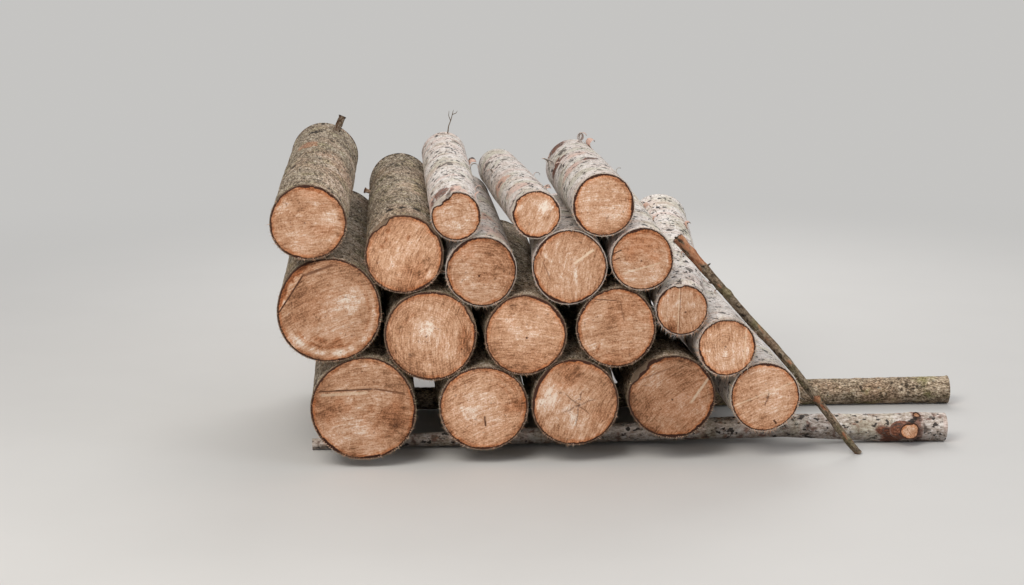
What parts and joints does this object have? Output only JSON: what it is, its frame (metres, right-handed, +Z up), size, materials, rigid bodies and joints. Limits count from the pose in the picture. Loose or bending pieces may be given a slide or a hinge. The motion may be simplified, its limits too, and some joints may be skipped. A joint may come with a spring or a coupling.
{
  "type": "stack of logs",
  "caption": "Stack of one-metre sawn spruce and birch logs lying across two bearer poles, with a thin pole leaning on its sloping side.",
  "frame": {"origin": "on the floor under the middle of the stack's outline", "axes": "+Z up, +X to the right along the sawn fronts, +Y from the sawn fronts towards the rear ends of the logs"},
  "size_m": [2.1076, 1.0376, 0.9109],
  "materials": {
    "spruce_log": "rough grey-brown bark, pale tan sawn ends with orange rims",
    "birch_log": "papery white bark with dark flecks, pale sawn ends",
    "mossy_pole": "brown bark with moss, rough",
    "thin_pole": "thin brown bark, torn in places to the orange wood"
  },
  "bodies": {
    "root": {"bottom_log_1": "spruce_log", "bottom_log_2": "spruce_log", "bottom_log_3": "spruce_log", "bottom_log_4": "spruce_log", "bottom_log_5": "birch_log", "second_row_log_1": "spruce_log", "second_row_log_2": "spruce_log", "second_row_log_3": "spruce_log", "second_row_log_4": "spruce_log", "second_row_log_5": "birch_log", "third_row_log_1": "spruce_log", "third_row_log_2": "birch_log", "third_row_log_3": "birch_log", "third_row_log_4": "birch_log", "third_row_log_5": "birch_log", "top_log_1": "spruce_log", "top_log_2": "birch_log", "top_log_3": "birch_log", "top_log_4": "birch_log", "front_bearer": "birch_log", "rear_bearer": "mossy_pole", "leaning_pole": "thin_pole"}
  },
  "joints": []
}
